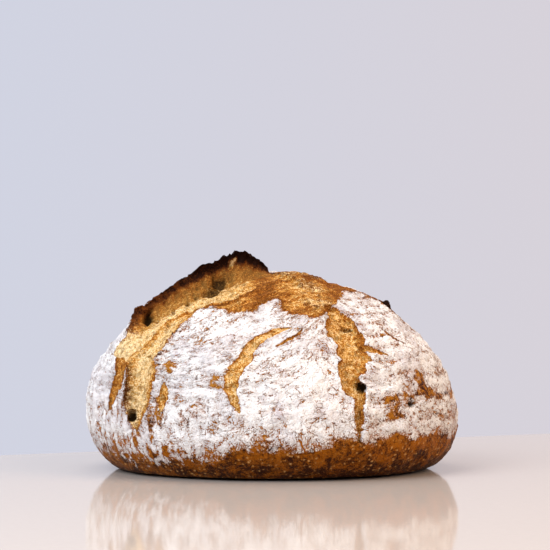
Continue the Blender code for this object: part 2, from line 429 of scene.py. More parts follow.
def ball_grid(cells):
    """Six square grids wrapped on a ball. A grid point (i, j) is an angle from -45 to 45 degrees each way,
    its tangent is its place on a cube's face, and the cube is blown up into a ball. Points shared by two or
    three patches are merged."""
    i, j = np.meshgrid(np.arange(cells + 1), np.arange(cells + 1), indexing="ij")
    far = np.full_like(i, cells)
    near = np.zeros_like(i)
    patches = ((i, j, far), (j, i, near), (far, i, j), (near, j, i), (j, far, i), (i, near, j))
    corners = np.stack([np.stack(patch, axis=-1) for patch in patches])
    lattice, ids = np.unique(corners.reshape(-1, 3), axis=0, return_inverse=True)
    ids = ids.reshape(6, cells + 1, cells + 1)
    quads = np.stack((ids[:, :-1, :-1], ids[:, 1:, :-1], ids[:, 1:, 1:], ids[:, :-1, 1:]), axis=-1)
    angles = (2.0 * lattice / cells - 1.0) * np.pi / 4
    return unit(np.tan(angles)), quads.reshape(-1, 4)


def gathered(balls):
    """The points of a ball drawn towards one side of it, with no fold: each turns towards the pole
    as light does for a moving eye."""
    pole = unit(np.array(GATHER_TOWARDS))
    along = balls @ pole
    across = balls - along[:, None] * pole
    new_along = (along + GATHER) / (1.0 + GATHER * along)
    shrink = np.sqrt((1.0 - new_along**2) / np.maximum(1.0 - along**2, 1e-12))
    return new_along[:, None] * pole + shrink[:, None] * across


class Dome:
    """The uncut loaf: half an ellipsoid above the belly line, drawn in a little at its shoulders and more so
    on the left, and a squarer curve below it, down to a flat foot and the slightly raised rim around that.
    The belly line sits lower on the right, where the dough spread."""

    def __init__(self, sizes):
        self.half = np.array((sizes.width / 2, sizes.depth / 2))
        self.belly = sizes.belly
        self.tall = sizes.dome

    def places(self, balls):
        x, y, z = balls.T
        level = np.sqrt(x * x + y * y)
        belly = self.belly - BELLY_SWAY * x / np.maximum(level, 0.2)
        below = z < 0.0
        power = 2.0 / FOOT_POWER
        swell = np.where(below, np.maximum(level, 1e-9) ** (power - 1.0), 1.0)
        drop = FOOT_DROP * belly * np.abs(z) ** power
        past_foot = (level**power - FOOT_SHARE) / (FOOT_RIM_SHARE - FOOT_SHARE)
        rim = RIM_RISE * np.clip(past_foot, 0.0, 1.0) ** 2
        height = np.where(below, np.maximum(belly - drop, rim), belly + (self.belly + self.tall - belly) * z)
        pinch = np.where(below, 1.0, 1.0 - PINCH * (1.0 - PINCH_LEFT * x) * (2.0 * z * level) ** 2)
        swell *= pinch
        height = np.where(below, height, belly + (height - belly) * pinch)
        return np.stack((self.half[0] * x * swell, self.half[1] * y * swell, height), axis=-1)

    def balls(self, places):
        """The ball point that goes to the crust above or below each place."""
        x, y, z = np.asarray(places).T
        rise = z - self.belly
        tall = np.where(rise > 0.0, self.tall, self.belly)
        return unit(np.stack((x / self.half[0], y / self.half[1], rise / tall), axis=-1))

    def outward(self, balls):
        x, y, z = balls.T
        tall = np.where(z > 0.0, self.tall, self.belly)
        return unit(np.stack((x / self.half[0], y / self.half[1], z / tall), axis=-1))


STEPS_PER_SPAN = 6


def smooth_curve(stations):
    """Catmull-Rom curve through the stations, with the ends carried straight on."""
    first = 2 * stations[0] - stations[1]
    last = 2 * stations[-1] - stations[-2]
    padded = np.vstack((first, stations, last))
    t = np.linspace(0.0, 1.0, STEPS_PER_SPAN, endpoint=False)[:, None]
    spans = []
    for a, b, c, d in zip(padded, padded[1:], padded[2:], padded[3:]):
        bend = t**2 * (a - 2.5 * b + 2 * c - d / 2)
        twist = t**3 * (3 * (b - c) + d - a) / 2
        spans.append(b + t * (c - a) / 2 + bend + twist)
    return np.vstack((*spans, stations[-1:]))


class Track:
    """A score's line over the dome: a smooth curve through its stations, with their sizes."""

    def __init__(self, dome, stations):
        curve = smooth_curve(np.array(stations))
        balls = dome.balls(curve[:, :3])
        self.points = dome.places(balls)
        self.sizes = curve[:, 3:]
        self.sides = unit(np.cross(np.gradient(self.points, axis=0), dome.outward(balls)))
        steps = np.linalg.norm(np.diff(self.points, axis=0), axis=1)
        self.run = np.concatenate(([0.0], np.cumsum(steps)))

    def measure(self, places):
        """For each place, by the nearest point of the line: the distance, positive on the line's right-hand
        side; how far along the line; the direction of that side; and the sizes."""
        best = np.full(len(places), np.inf)
        at = np.zeros(len(places))
        gap = np.zeros_like(places)
        for number, (start, end) in enumerate(zip(self.points, self.points[1:])):
            span = end - start
            from_start = places - start
            share = np.clip(from_start @ span / (span @ span), 0.0, 1.0)
            this_gap = from_start - share[:, None] * span
            far = dot(this_gap, this_gap)
            closer = far < best
            best[closer] = far[closer]
            at[closer] = number + share[closer]
            gap[closer] = this_gap[closer]
        rows = np.arange(len(self.points))
        side = unit(np.stack([np.interp(at, rows, self.sides[:, axis]) for axis in range(3)], axis=-1))
        sizes = [np.interp(at, rows, column) for column in self.sizes.T]
        return np.sqrt(best) * np.sign(dot(gap, side)), np.interp(at, rows, self.run), side, sizes


# ----------------------------------------------------------------------------------------------------
# Opening the scores

# How far the lip leans and how deep the face below it is cut under, both as shares of its lift
LIP_LEAN = 0.40
UNDERCUT = 0.22
# Length of the teeth and of the nicks along the lip
TOOTH_LENGTH = 0.0075
NICK_LENGTH = 0.0021
# How far behind the lip the flap is lifted, and how far it leans along with the lip
FLAP_REACH = 0.030
LEAN_REACH = 0.016
# The cut face's share of the opening's width, and its least and greatest width
FACE_SHARE = 0.30
FACE_LEAST, FACE_MOST = 0.002, 0.012
# Width of the crumb's ramp at the near edge, width from which the opening is at its full depth, and width of
# the near edge's torn rim
EDGE_RAMP = 0.009
OPEN_WIDTH = 0.016
RIM_WIDTH = 0.006
# How far down the face is burnt: at the least, and what each part of the lift adds
BURNT_LEAST = 0.0030
BURNT_SHARE = 0.34
# What turns a hole's direction towards the front, and how far behind and before its place it reaches
TOWARDS_FRONT = np.array((0.0, -0.8, 0.0))
HOLE_REACH = 0.014


class Skin:
    """Everything worked out for each point of the crust: where it is, and how it is baked."""

    def __init__(self, sizes):
        self.dome = Dome(sizes)
        balls, self.quads = ball_grid(sizes.cells)
        balls = gathered(balls)
        self.rest = self.dome.places(balls)
        self.out = self.dome.outward(balls)
        self.points = self.rest.copy()
        self.crumb = np.zeros(len(balls))
        self.bake = np.zeros(len(balls))
        self.char = np.zeros(len(balls))
        self.hole = np.zeros(len(balls))

    def normals(self):
        """Outward direction at each point: the sum of the cross products of the diagonals of its cells."""
        a, b, c, d = (self.points[self.quads[:, corner]] for corner in range(4))
        turns = np.cross(c - a, d - b)
        total = np.zeros_like(self.points)
        for corner in range(4):
            for axis in range(3):
                total[:, axis] += np.bincount(self.quads[:, corner], turns[:, axis], len(total))
        return total / np.maximum(np.linalg.norm(total, axis=1, keepdims=True), 1e-12)


class LongScore:
    """The long score, measured at every point. flap is the distance behind the lip, width that of the
    opening, face that of the cut face under the lip, and down goes from 0 at the lip to 1 at the foot of
    that face."""

    def __init__(self, skin, noise):
        rest = skin.rest
        to_lip, lip_run, self.lip_side, lip_sizes = Track(skin.dome, EAR_LIP).measure(rest)
        to_edge, _, _, (self.rim, ragged, self.bare) = Track(skin.dome, PLATE_EDGE).measure(rest)
        self.to_fold, self.fold_run, _, (self.fold,) = Track(skin.dome, FOLD).measure(rest)
        lift, self.swell, self.char, self.sink = lip_sizes
        self.nothing = np.zeros_like(lip_run)

        tooth = noise.layers(np.stack((lip_run / TOOTH_LENGTH, self.nothing, self.nothing + 3.0), axis=-1), 4)
        nick = noise.layers(np.stack((lip_run / NICK_LENGTH, self.nothing, self.nothing + 8.0), axis=-1), 2)
        ragged_lip = 0.0006 * tooth + 0.0007 * np.maximum(nick, -0.2)
        self.lift = lift * (1.0 + 0.09 * tooth) + self.char * ragged_lip
        to_lip = to_lip + 0.0005 * noise.layers(rest / 0.004, 2)
        self.to_edge = to_edge + ragged * self.along_fold(noise, 0.012, 0.0032, 0.0, 3)

        self.flap = -to_lip
        self.inside = (self.flap < 0.0) & (self.to_edge < 0.0)
        self.width = np.abs(to_lip) + np.abs(self.to_edge)
        self.face = np.clip(FACE_SHARE * self.width, FACE_LEAST, FACE_MOST)
        self.down = np.clip(-self.flap / self.face, 0.0, 1.0)

    def along_fold(self, noise, length, width, offset, count):
        """Noise drawn out along the fold, with lumps of this length and width."""
        at = np.stack((self.fold_run / length, self.to_fold / width, self.nothing + offset), axis=-1)
        return noise.layers(at, count)


def open_long_score(skin, score):
    """The flap behind the long score lifts to a ragged lip and leans over. The cut face falls from the lip,
    cut under a little, to the crumb. The crumb meets the near edge in a short ramp, under the edge's torn
    rim."""
    flap, inside, lift, down = score.flap, score.inside, score.lift, score.down
    lean = LIP_LEAN * lift
    far_share = ease(flap / 0.010)
    height = lift * (1.0 - far_share) + score.swell * far_share
    behind = ease(1.0 - flap / FLAP_REACH) ** 2
    rise = np.where(flap >= 0.0, height * behind, 0.0)
    shift = np.where(flap >= 0.0, lean * ease(1.0 - flap / LEAN_REACH) ** 2, 0.0)

    opened = ease(score.width / OPEN_WIDTH)
    depth = score.sink * opened * ease(-score.to_edge / EDGE_RAMP)
    folded = score.fold * bump(score.to_fold, 0.0018) * opened
    rise = np.where(inside, (lift + depth) * (1.0 - ease(down)) - depth + folded, rise)
    hollow = UNDERCUT * lift * np.sin(np.pi * down) ** 2
    reached = lean * (1.0 - down) + 0.8 * score.face * down**2 - hollow
    eased_out = ease(1.0 - (-flap - score.face) / np.maximum(score.width - score.face, 1e-4))
    shift = np.where(inside, np.where(down < 1.0, reached + flap, -0.2 * score.face * eased_out), shift)

    near = ease(1.0 - score.to_edge / RIM_WIDTH)
    rise = np.where(~inside & (flap < 0.0), score.rim * near, rise)
    skin.points += rise[:, None] * skin.out + shift[:, None] * score.lip_side


def bake_long_score(skin, score, noise):
    """Burnt down from the lip, then brown to golden down the face, and palest at its foot and at the left.
    The fold, the near edge and the crumb over the top are browner again."""
    flap, inside, face, to_edge, to_fold = score.flap, score.inside, score.face, score.to_edge, score.to_fold
    rest = skin.rest
    x, y, _ = rest.T
    skin.crumb = ease(np.minimum(-flap, -to_edge) / 0.0010 + 0.5)

    drop = (score.lift + score.sink) * ease(score.down) + 0.0014 * noise.layers(rest / 0.005, 3)
    burnt = BURNT_LEAST + BURNT_SHARE * score.lift
    faced = inside * ease(score.lift / 0.004)
    under = inside * (1.0 - ease((drop / burnt - 0.55) / 0.9))
    skin.char = score.char * np.where(flap >= 0.0, ease(1.0 - flap / 0.0065), under)

    streak = score.along_fold(noise, 0.030, 0.0026, 0.0, 3)
    broad = score.along_fold(noise, 0.040, 0.0070, 5.0, 2)
    over_top = ease((x + 0.045) / 0.050)
    onward = ease((x + 0.086) / 0.020)
    bake = 0.02 + 0.20 * onward + 0.32 * over_top + 0.20 * (streak + broad) * (0.30 + 0.70 * over_top)
    sunk = ease(-flap / (1.6 * face) + 0.10 * broad)
    bake += faced * (0.90 - 0.30 * over_top) * (1.0 - sunk)
    bake += 0.40 * faced * bump(x + 0.006, 0.006)
    bake += 0.78 * bump(to_fold, 0.0021) * (0.7 + 0.5 * noise.hills(rest / 0.006))
    bake += 0.26 * ease(to_fold / 0.0016) * ease((x + 0.058) / 0.010) * ease((0.020 - x) / 0.030)
    bake += 0.62 * ease(1.0 + to_edge / 0.0038) * inside
    bake += 0.45 * ease((x - 0.024) / 0.012) * ease((y + 0.050) / 0.02)
    bake += 0.45 * ease(1.0 + flap / 0.0018) * (1.0 - faced)
    skin.bake = np.where(inside, bake, 0.80)
    skin.face = faced * (score.down < 1.0)
    skin.grain = np.stack((score.fold_run, to_fold, score.nothing), axis=-1)
    skin.bare_rim = (~inside & (flap < 0.0)) * ease(1.3 - to_edge / np.maximum(score.bare, 1e-4))


def open_side_score(skin, noise, depth, brown, stations):
    """A narrow score: a rounded groove with a slight rim, and crumb in it."""
    distance, run, _, (width,) = Track(skin.dome, stations).measure(skin.rest)
    distance = distance + 0.16 * width * noise.layers(skin.rest / 0.007, 3)
    distance = distance + 0.0005 * noise.layers(skin.rest / 0.0025, 2)
    across = np.abs(distance) / np.maximum(width / 2, 1e-4)
    groove = -depth * ease((1.15 - across) / 0.55)
    rim = 0.15 * depth * bump(across - 1.4, 0.4)
    skin.points += (groove + rim)[:, None] * skin.out
    opened = ease((1.0 - across) * np.maximum(width / 2, 1e-4) / 0.0008 + 0.5)
    streak = noise.layers(np.stack((run / 0.006, distance / 0.002, np.full_like(run, 9.0)), axis=-1), 2)
    bake = brown + 0.20 * streak + 0.40 * ease((across - 0.62) / 0.35)
    skin.bake = np.where(opened > skin.crumb, bake, skin.bake)
    skin.grain = np.where((across < 1.3)[:, None], np.stack((run, distance, 0.0 * run), axis=-1), skin.grain)
    skin.crumb = np.maximum(skin.crumb, opened)


def sink_holes(skin, noise):
    """Holes left by large bubbles: each a ragged oval as seen from the front, sunk to a flat bottom, away
    from the front and from the outward direction that the opened skin has there."""
    out = skin.normals()
    opened = skin.points.copy()
    ragged = 0.30 * noise.layers(opened / 0.0022, 2)
    for x, y, z, half_wide, half_tall, depth, dark in HOLES:
        gap = opened - (x, y, z)
        gap -= gap[np.argmin(dot(gap, gap))]
        near = bump(np.linalg.norm(gap, axis=1), 0.0020)
        facing = unit(unit(near @ out) + TOWARDS_FRONT)
        oval = np.hypot(gap[:, 0] / half_wide, gap[:, 2] / half_tall) + ragged
        within = np.abs(gap[:, 1]) < HOLE_REACH
        pit = within * (1.0 - ease((oval - 0.60) / 0.75))
        skin.points -= (depth * pit)[:, None] * facing
        # How dark the painted shade in each hole is
        skin.hole = np.maximum(skin.hole, dark * pit)


def tear_scraps(skin, noise):
    """Pale scraps where the char tore away."""
    for x, y, z, radius in TORN:
        gap = skin.points - (x, y, z)
        gap -= gap[np.argmin(dot(gap, gap))]
        far = np.linalg.norm(gap, axis=1) + 0.0006 * noise.layers(skin.points / 0.002, 2)
        scrap = ease(1.8 - far / radius)
        skin.char *= 1.0 - scrap
        skin.bake *= 1.0 - scrap
        skin.crumb = np.maximum(skin.crumb, scrap)


def dust_with_flour(skin, noise, sizes):
    """How much flour lies at each point, 0 to 1, and the ring coordinate that its lines follow. The
    coordinate is the distance down the crust from the crown; on the front plate it tilts, as the dough slid
    and turned."""
    x, y, z = skin.rest.T
    level = np.hypot(x, y)
    crown = skin.dome.belly + skin.dome.tall
    down = np.hypot(level, 0.9 * (crown - z))
    front = ease(-y / 0.05) * ease((0.045 - x) / 0.02)
    tilt = 0.60 * front * ease((z - 0.040) / 0.045)
    right = ease((x - 0.045) / 0.02) * ease(-y / 0.03)
    ring = down + tilt * x - right * 4.0 * (x - 0.075) ** 2 + 0.0018 * noise.layers(skin.rest / 0.020, 2)
    skin.rows = np.stack((x, y, ring), axis=-1)

    bearing = np.degrees(np.arctan2(x, -y))
    edge = np.interp(bearing, *np.array(FLOUR_EDGE).T) + 0.0022 * noise.layers(skin.rest / 0.012, 3)
    above = z - edge
    calm = bump(bearing - 10.0, 24.0) * ease((0.070 - z) / 0.020)
    amount = ease(above / 0.010 + 0.25) * (0.44 + 0.22 * ease((above - 0.004) / 0.012) + 0.10 * calm)
    amount += 0.13 * ease((-x - 0.070) / 0.020) - 0.07 * front * ease((z - 0.070) / 0.015)
    amount -= 0.13 * ease((x - 0.050) / 0.030) * ease((0.068 - z) / 0.020)
    long_rows = np.stack((x / 0.022, y / 0.022, ring / 0.0065), axis=-1)
    amount += 0.16 * noise.layers(long_rows, 2) + 0.12 * noise.layers(skin.rest / 0.016, 3)
    groove = 0.5 - 0.5 * np.cos(2.0 * np.pi * ring / sizes.ring_spacing)
    lined = ease((0.65 - noise.hills(skin.rest / 0.030)) / 0.8)
    amount -= (0.18 + 0.24 * ease((x - 0.03) / 0.03)) * groove**3 * lined
    patchy = ease((0.062 - z) / 0.03) * bump(bearing + 44.0, 27.0)
    combed = np.stack((x / 0.0032, y / 0.0032, z / 0.020), axis=-1)
    amount -= patchy * (0.32 - 0.62 * noise.layers(combed, 2))
    frayed = 0.0034 * noise.layers(skin.rest / 0.005, 4)
    for *place, radius in BALD:
        gap = np.linalg.norm(skin.rest - place, axis=1) + frayed
        amount -= 0.46 * ease(1.7 - gap / radius)
    amount -= 0.36 * skin.bare_rim
    amount = np.where(z < 0.0005, 0.25, amount)
    skin.flour = np.clip(amount, 0.0, 1.0) * (above > -0.004)
    skin.groove = groove * lined
    skin.calm = calm


def add_relief(skin, noise, sizes):
    """Small shape, along the finished skin's own outward direction: lumps and basket rings on the crust, fine
    crackle in the flour, blisters below it, and stretched ridges, pits and tears in the crumb."""
    out = skin.normals()
    here = skin.points
    x, y, z = skin.rest.T
    crust = 1.0 - skin.crumb
    floured = ease(skin.flour * 2.5)
    lumps = 0.0011 * noise.layers(skin.rest / 0.028, 2) + 0.00040 * noise.layers(skin.rest / 0.007, 2)
    rings = -0.00055 * skin.groove * floured
    wrinkle = noise.layers(skin.rows / (0.011, 0.011, 0.0036), 4)
    present = ease((noise.layers(skin.rest / 0.013 + 40.0, 2) + 0.55) / 0.6)
    crack = bump(wrinkle, 0.11) * present
    flake = noise.layers(skin.rows / (0.0045, 0.0045, 0.0022) + 9.0, 3)
    chip = bump(flake, 0.10) * ease((noise.layers(skin.rest / 0.011 + 70.0, 2) + 0.15) / 0.5)
    skin.crack = np.maximum(crack, 0.8 * chip) * crust * (1.0 - 0.5 * skin.calm)
    crackle = crust * floured * (0.00050 * wrinkle + 0.00026 * flake - 0.00050 * crack - 0.00030 * chip)
    near, own = noise.spots(skin.rest / 0.0034)
    bare = crust * (1.0 - floured)
    blister = ease(1.0 - near / (0.25 + 0.25 * own))

    far, own = noise.spots(here / 0.0044)
    pore = ease(1.0 - far / (0.20 + 0.50 * own))
    fine, own = noise.spots(here / 0.0023)
    small = ease(1.0 - fine / (0.15 + 0.40 * own))
    streak = noise.layers(skin.grain / (0.018, 0.0024, 1.0), 3)
    holed = skin.crumb * (1.0 - 0.80 * ease((x + 0.045) / 0.045) * (1.0 - skin.face)) * (1.0 - skin.char)
    tear = skin.crumb * (0.00050 * streak + 0.00040 * noise.layers(here / 0.0035, 2))
    pores = -holed * (1.0 + 0.5 * skin.face) * (0.0014 * pore + 0.0006 * small)
    # Where the crumb's pits get painted shade
    skin.pit = holed * (0.75 * pore + 0.25 * small)

    burnt = skin.char * 0.0011 * noise.layers(here / 0.0028, 3)
    rise = lumps + rings + crackle + 0.00040 * bare * blister + tear + pores + burnt
    skin.points = here + (sizes.relief * rise * ease(z / 0.006))[:, None] * out
    skin.points[:, 2] = np.where(skin.rest[:, 2] <= 0.0, 0.0, np.maximum(skin.points[:, 2], 0.0))


def shape_skin(sizes):
    noise = Noise(11)
    skin = Skin(sizes)
    long_score = LongScore(skin, noise)
    open_long_score(skin, long_score)
    bake_long_score(skin, long_score, noise)
    for depth, brown, stations in SIDE_SCORES:
        open_side_score(skin, noise, depth, brown, stations)
    sink_holes(skin, noise)
    tear_scraps(skin, noise)
    dust_with_flour(skin, noise, sizes)
    add_relief(skin, noise, sizes)
    return skin


POINT_VALUES = ("crumb", "bake", "char", "face", "pit", "hole", "flour", "crack")
POINT_VECTORS = ("rows", "grain")


def make_loaf(sizes):
    """The loaf's skin as a closed mesh, with what the material reads kept as attributes of its points."""
    skin = shape_skin(sizes)
    mesh = bpy.data.meshes.new("loaf_skin")
    mesh.vertices.add(len(skin.points))
    mesh.vertices.foreach_set("co", skin.points.ravel())
    mesh.loops.add(skin.quads.size)
    mesh.loops.foreach_set("vertex_index", skin.quads.ravel())
    mesh.polygons.add(len(skin.quads))
    mesh.polygons.foreach_set("loop_start", np.arange(0, skin.quads.size, 4))
    mesh.update()
    mesh.validate()
    for name in POINT_VALUES:
        values = np.clip(getattr(skin, name), 0.0, 1.0)
        mesh.attributes.new(name, "FLOAT", "POINT").data.foreach_set("value", values)
    for name in POINT_VECTORS:
        in_centimetres = 100.0 * getattr(skin, name)
        mesh.attributes.new(name, "FLOAT_VECTOR", "POINT").data.foreach_set("vector", in_centimetres.ravel())
    mesh.shade_smooth()
    return mesh


# ----------------------------------------------------------------------------------------------------
# Materials: shader sums written as Python


class Wire:
    """An output of a shader node. Sums on wires and numbers place the Math nodes that work them out."""

    def __init__(self, finish, socket):
        self.finish = finish
        self.socket = socket

    def maths(self, operation, *values):
        inputs = dict(enumerate(values))
        return self.finish.node("ShaderNodeMath", {"operation": operation}, inputs)

    def __add__(self, other):
        return self.maths("ADD", self, other)

    def __radd__(self, other):
        return self.maths("ADD", other, self)

    def __sub__(self, other):
        return self.maths("SUBTRACT", self, other)

    def __rsub__(self, other):
        return self.maths("SUBTRACT", other, self)

    def __mul__(self, other):
        return self.maths("MULTIPLY", self, other)

    def __rmul__(self, other):
        return self.maths("MULTIPLY", other, self)

    def __truediv__(self, other):
        return self.maths("DIVIDE", self, other)

    def __abs__(self):
        return self.maths("ABSOLUTE", self)

    def between(self, low, high):
        """0 below low, 1 above high, eased between."""
        inputs = {"Value": self, "From Min": low, "From Max": high}
        return self.finish.node("ShaderNodeMapRange", {"interpolation_type": "SMOOTHSTEP"}, inputs)

    def held(self):
        """Kept between 0 and 1."""
        inputs = {"Value": self, "Min": 0.0, "Max": 1.0}
        return self.finish.node("ShaderNodeClamp", {}, inputs)

    def stretched(self, x, y, z):
        """A vector with each axis multiplied."""
        inputs = {0: self, 1: (x, y, z)}
        return self.finish.node("ShaderNodeVectorMath", {"operation": "MULTIPLY"}, inputs)

    def along(self, axis):
        """One of a vector's three parts."""
        return self.finish.node("ShaderNodeSeparateXYZ", {}, {"Vector": self}, axis)


class Finish:
    """A material while it is being wired."""

    def __init__(self, name):
        self.material = bpy.data.materials.new(name)
        self.material.use_nodes = True
        self.tree = self.material.node_tree
        self.shader = self.tree.nodes["Principled BSDF"]

    def node(self, kind, settings, inputs, output=0):
        """Places a node: its settings first, then its sockets, each a value or a wire."""
        made = self.tree.nodes.new(kind)
        for name, value in settings.items():
            if name == "stops":
                self.set_stops(made.color_ramp, value)
            else:
                setattr(made, name, value)
        for name, value in inputs.items():
            self.feed(made.inputs[name], value)
        return Wire(self, made.outputs[output])

    def set_stops(self, ramp, stops):
        while len(ramp.elements) < len(stops):
            ramp.elements.new(0.5)
        for element, (place, colour) in zip(ramp.elements, stops):
            element.position = place
            element.color = (*colour, 1.0)

    def feed(self, socket, value):
        if isinstance(value, Wire):
            self.tree.links.new(value.socket, socket)
        else:
            socket.default_value = value

    def surface(self, **sockets):
        """Sets the shader's own sockets, named in words joined by underscores."""
        for name, value in sockets.items():
            self.feed(self.shader.inputs[name.replace("_", " ")], value)
        return self.material

    def point_value(self, name):
        return self.node("ShaderNodeAttribute", {"attribute_name": name}, {}, "Fac")

    def point_vector(self, name):
        return self.node("ShaderNodeAttribute", {"attribute_name": name}, {}, "Vector")

    def position(self):
        return self.node("ShaderNodeTexCoord", {}, {}, "Object")

    def noise(self, vector, scale, detail, roughness):
        inputs = {"Vector": vector, "Scale": scale, "Detail": detail, "Roughness": roughness}
        return self.node("ShaderNodeTexNoise", {}, inputs)

    def mix(self, share, first, second):
        inputs = {0: share, 6: self.as_colour(first), 7: self.as_colour(second)}
        return self.node("ShaderNodeMix", {"data_type": "RGBA"}, inputs, 2)

    def as_colour(self, colour):
        return colour if isinstance(colour, Wire) else (*colour, 1.0)

    def ramp(self, value, *stops):
        return self.node("ShaderNodeValToRGB", {"stops": stops}, {"Fac": value})

    def bump(self, height, distance, strength):
        inputs = {"Height": height, "Distance": distance, "Strength": strength}
        return self.node("ShaderNodeBump", {}, inputs)


class CrustFinish(Finish):
    """The loaf's one material, with the point values and the noises, broad to fine, that its layers share."""

    def __init__(self, colours):
        super().__init__("baked_crust")
        self.colours = colours
        self.place = self.position()
        self.rows, self.grain = (self.point_vector(name) for name in POINT_VECTORS)
        values = (self.point_value(name) for name in POINT_VALUES)
        self.crumb, self.bake, self.char, self.face, self.pit, self.hole, self.flour, self.crack = values
        self.broad = self.noise(self.place, 45.0, 2.0, 0.5)
        self.mottle = self.noise(self.place, 120.0, 4.0, 0.6)
        self.blob = self.noise(self.place, 330.0, 3.0, 0.6)
        self.grit = self.noise(self.place, 420.0, 3.0, 0.65)
        self.rough = self.noise(self.place, 520.0, 3.0, 0.65)
        self.speck = self.noise(self.place, 1150.0, 2.0, 0.7)
        self.fine = self.noise(self.place, 1400.0, 2.0, 0.7)
        self.thread = self.noise(self.grain.stretched(1.0, 7.0, 1.0), 1.3, 5.0, 0.72)
        self.browned = self.browning()
        self.dimple = self.dimples()
        self.thickness = self.flour_thickness()
        self.dusted = self.thickness.between(0.04, 0.40) * self.flour.between(0.00, 0.10)
        self.edge = (self.crumb + (self.grit - 0.5) * 0.6).between(0.35, 0.65)

    def flour_thickness(self):
        """The amount laid on, roughened by streaks that follow the rings and by fine specks, and broken by
        long cracks and short ones. A crack lies where a noise crosses its middle value."""
        streak = self.noise(self.rows.stretched(1.0, 1.0, 1.9), 1.7, 4.0, 0.6)
        long_line = abs(self.noise(self.rows.stretched(1.0, 1.0, 2.6), 1.2, 3.0, 0.55) - 0.5)
        short_line = abs(self.noise(self.rows.stretched(1.0, 1.0, 1.7), 3.2, 2.5, 0.55) - 0.5)
        long_seam = (1.0 - long_line.between(0.003, 0.022)) * self.mottle.between(0.43, 0.58)
        short_seam = (1.0 - short_line.between(0.001, 0.022)) * streak.between(0.46, 0.60)
        laid = self.flour + (streak - 0.5) * 0.44
        laid = laid + (self.grit - 0.5) * 0.46 + (self.speck - 0.5) * 1.30 + 0.04
        return laid - long_seam * 0.85 - short_seam * 0.60 - self.crack * 0.52

    def lower_band(self, height):
        """Amber crust, darker towards the foot, and darker towards the right by painted shade, with blisters
        and a little dust.
        """
        rightward = self.place.along("X")
        blotch = (self.mottle - 0.5) * 3.2 + (self.grit - 0.5) * 2.6 + (self.speck - 0.5) * 2.4
        # Painted shade: the rightward term darkens the band on the side away from the window light
        baked_on = height / 0.022 + blotch - rightward * 2.6 - 0.02
        band = self.mix(baked_on.held(), self.colours.base, self.colours.amber)
        band = self.mix((baked_on - 1.0).held() * 0.25, band, self.colours.tawny)
        to_fleck = self.node("ShaderNodeTexVoronoi", {}, {"Vector": self.place, "Scale": 340.0})
        fleck = (1.0 - to_fleck.between(0.12, 0.36)) * self.grit.between(0.42, 0.56)
        band = self.mix(fleck * 0.90, band, self.colours.blister)
        dust = self.speck.between(0.56, 0.68) * self.grit.between(0.48, 0.60)
        return self.mix(dust * 0.35, band, self.colours.blister)

    def bare_crust(self):
        """Crust without flour: mottled brown above, darker in its cracks, and the band below."""
        height = self.place.along("Z")
        warmth = (self.mottle - 0.5) * 2.6 + (self.grit - 0.5) * 3.4 + (self.speck - 0.5) * 3.4 + 0.46
        browns = ((0.0, self.colours.base), (0.35, self.colours.crust), (0.9, self.colours.tawny))
        crust = self.mix(self.crack.between(0.35, 0.95) * 0.45, self.ramp(warmth, *browns), self.colours.base)
        return self.mix((height / 0.012 - 1.6).held(), self.lower_band(height), crust)

    def floured_crust(self):
        """Bare crust under a thin coat of flour, and the thicker dusting over both."""
        # Painted shade: soft patches where the flour's white turns lilac grey
        shaded = self.mottle.between(0.48, 0.68) * 0.40 + (1.0 - self.grit.between(0.34, 0.54)) * 0.30
        shaded = shaded + self.broad.between(0.46, 0.68) * 0.45 + (self.speck - 0.5) * 1.0 - 0.06
        white = self.mix(shaded.held(), self.colours.flour, self.colours.flour_painted_shade)
        coated = self.thickness.between(-0.16, 0.14) * self.flour.between(0.14, 0.42)
        crust = self.mix(coated, self.bare_crust(), self.colours.thin_flour)
        return self.mix(self.dusted, crust, white)

    def browning(self):
        """How brown the crumb is: what the oven did, with streaks along the tear and flecks on its ridges."""
        return self.bake + (self.thread - 0.5) * 1.25 + (self.rough - 0.5) * 1.10 + (self.fine - 0.5) * 2.30

    def dimples(self):
        """Painted shade of pores, mostly where the crumb is pale; the same pattern also dents the bump."""
        fresh = 1.0 - self.browned.between(0.35, 0.85)
        dimple = self.blob.between(0.48, 0.66) * 0.75 + self.rough.between(0.56, 0.72) * 0.45
        return (dimple * (fresh * 0.85 + 0.15)).held()

    def torn_crumb(self):
        """Crumb from cream to brown, with painted shade in its pores and on the cut face under the ear."""
        dough = self.ramp(
            self.browned,
            (0.02, self.colours.pale_crumb),
            (0.42, self.colours.gold_crumb),
            (0.76, self.colours.brown_crumb),
            (1.0, tuple(0.30 * part for part in self.colours.brown_crumb)),
        )
        dough = self.mix(self.dimple * 0.80, dough, self.colours.pore)
        # Painted shade on the cut face under the ear
        return self.mix(self.face * 0.50 * (self.blob + 0.25), dough, self.colours.pore)

    def charred(self, colour):
        """A dark brown edge and then char over a colour, where it is burnt."""
        ember = self.char + (self.grit - 0.5) * 1.00 + (self.mottle - 0.5) * 0.60 + (self.fine - 0.5) * 1.60
        scorch = self.mix(self.fine.between(0.42, 0.66), self.colours.scorch, self.colours.crust)
        colour = self.mix(ember.between(0.10, 0.42), colour, scorch)
        return self.mix(ember.between(0.52, 0.86), colour, self.colours.char)

    def holed(self, colour):
        """Painted shade darkens a colour in pits and holes, except where a strand of crumb still crosses a
        shallow hole.
        """
        pitted = self.pit.between(0.20, 0.95) * 0.85 * self.rough.between(0.34, 0.54)
        colour = self.mix(pitted, colour, self.colours.pore)
        strand = 1.0 - abs(self.blob - 0.5).between(0.004, 0.030)
        strand = strand * (1.0 - self.hole.between(0.72, 0.90))
        return self.mix(self.hole.between(0.12, 0.92) * (1.0 - strand * 0.6), colour, self.colours.hollow)

    def relief(self):
        """Height of the flour on the crust, and of the threads, flecks and pores in the crumb."""
        flour_relief = self.thickness.between(-0.3, 0.9) * (1.0 - self.edge) * 1.2
        crumb_relief = self.thread * 0.8 + self.fine * 0.5 - self.dimple * 0.8
        return flour_relief + self.grit * 0.35 + crumb_relief * self.edge


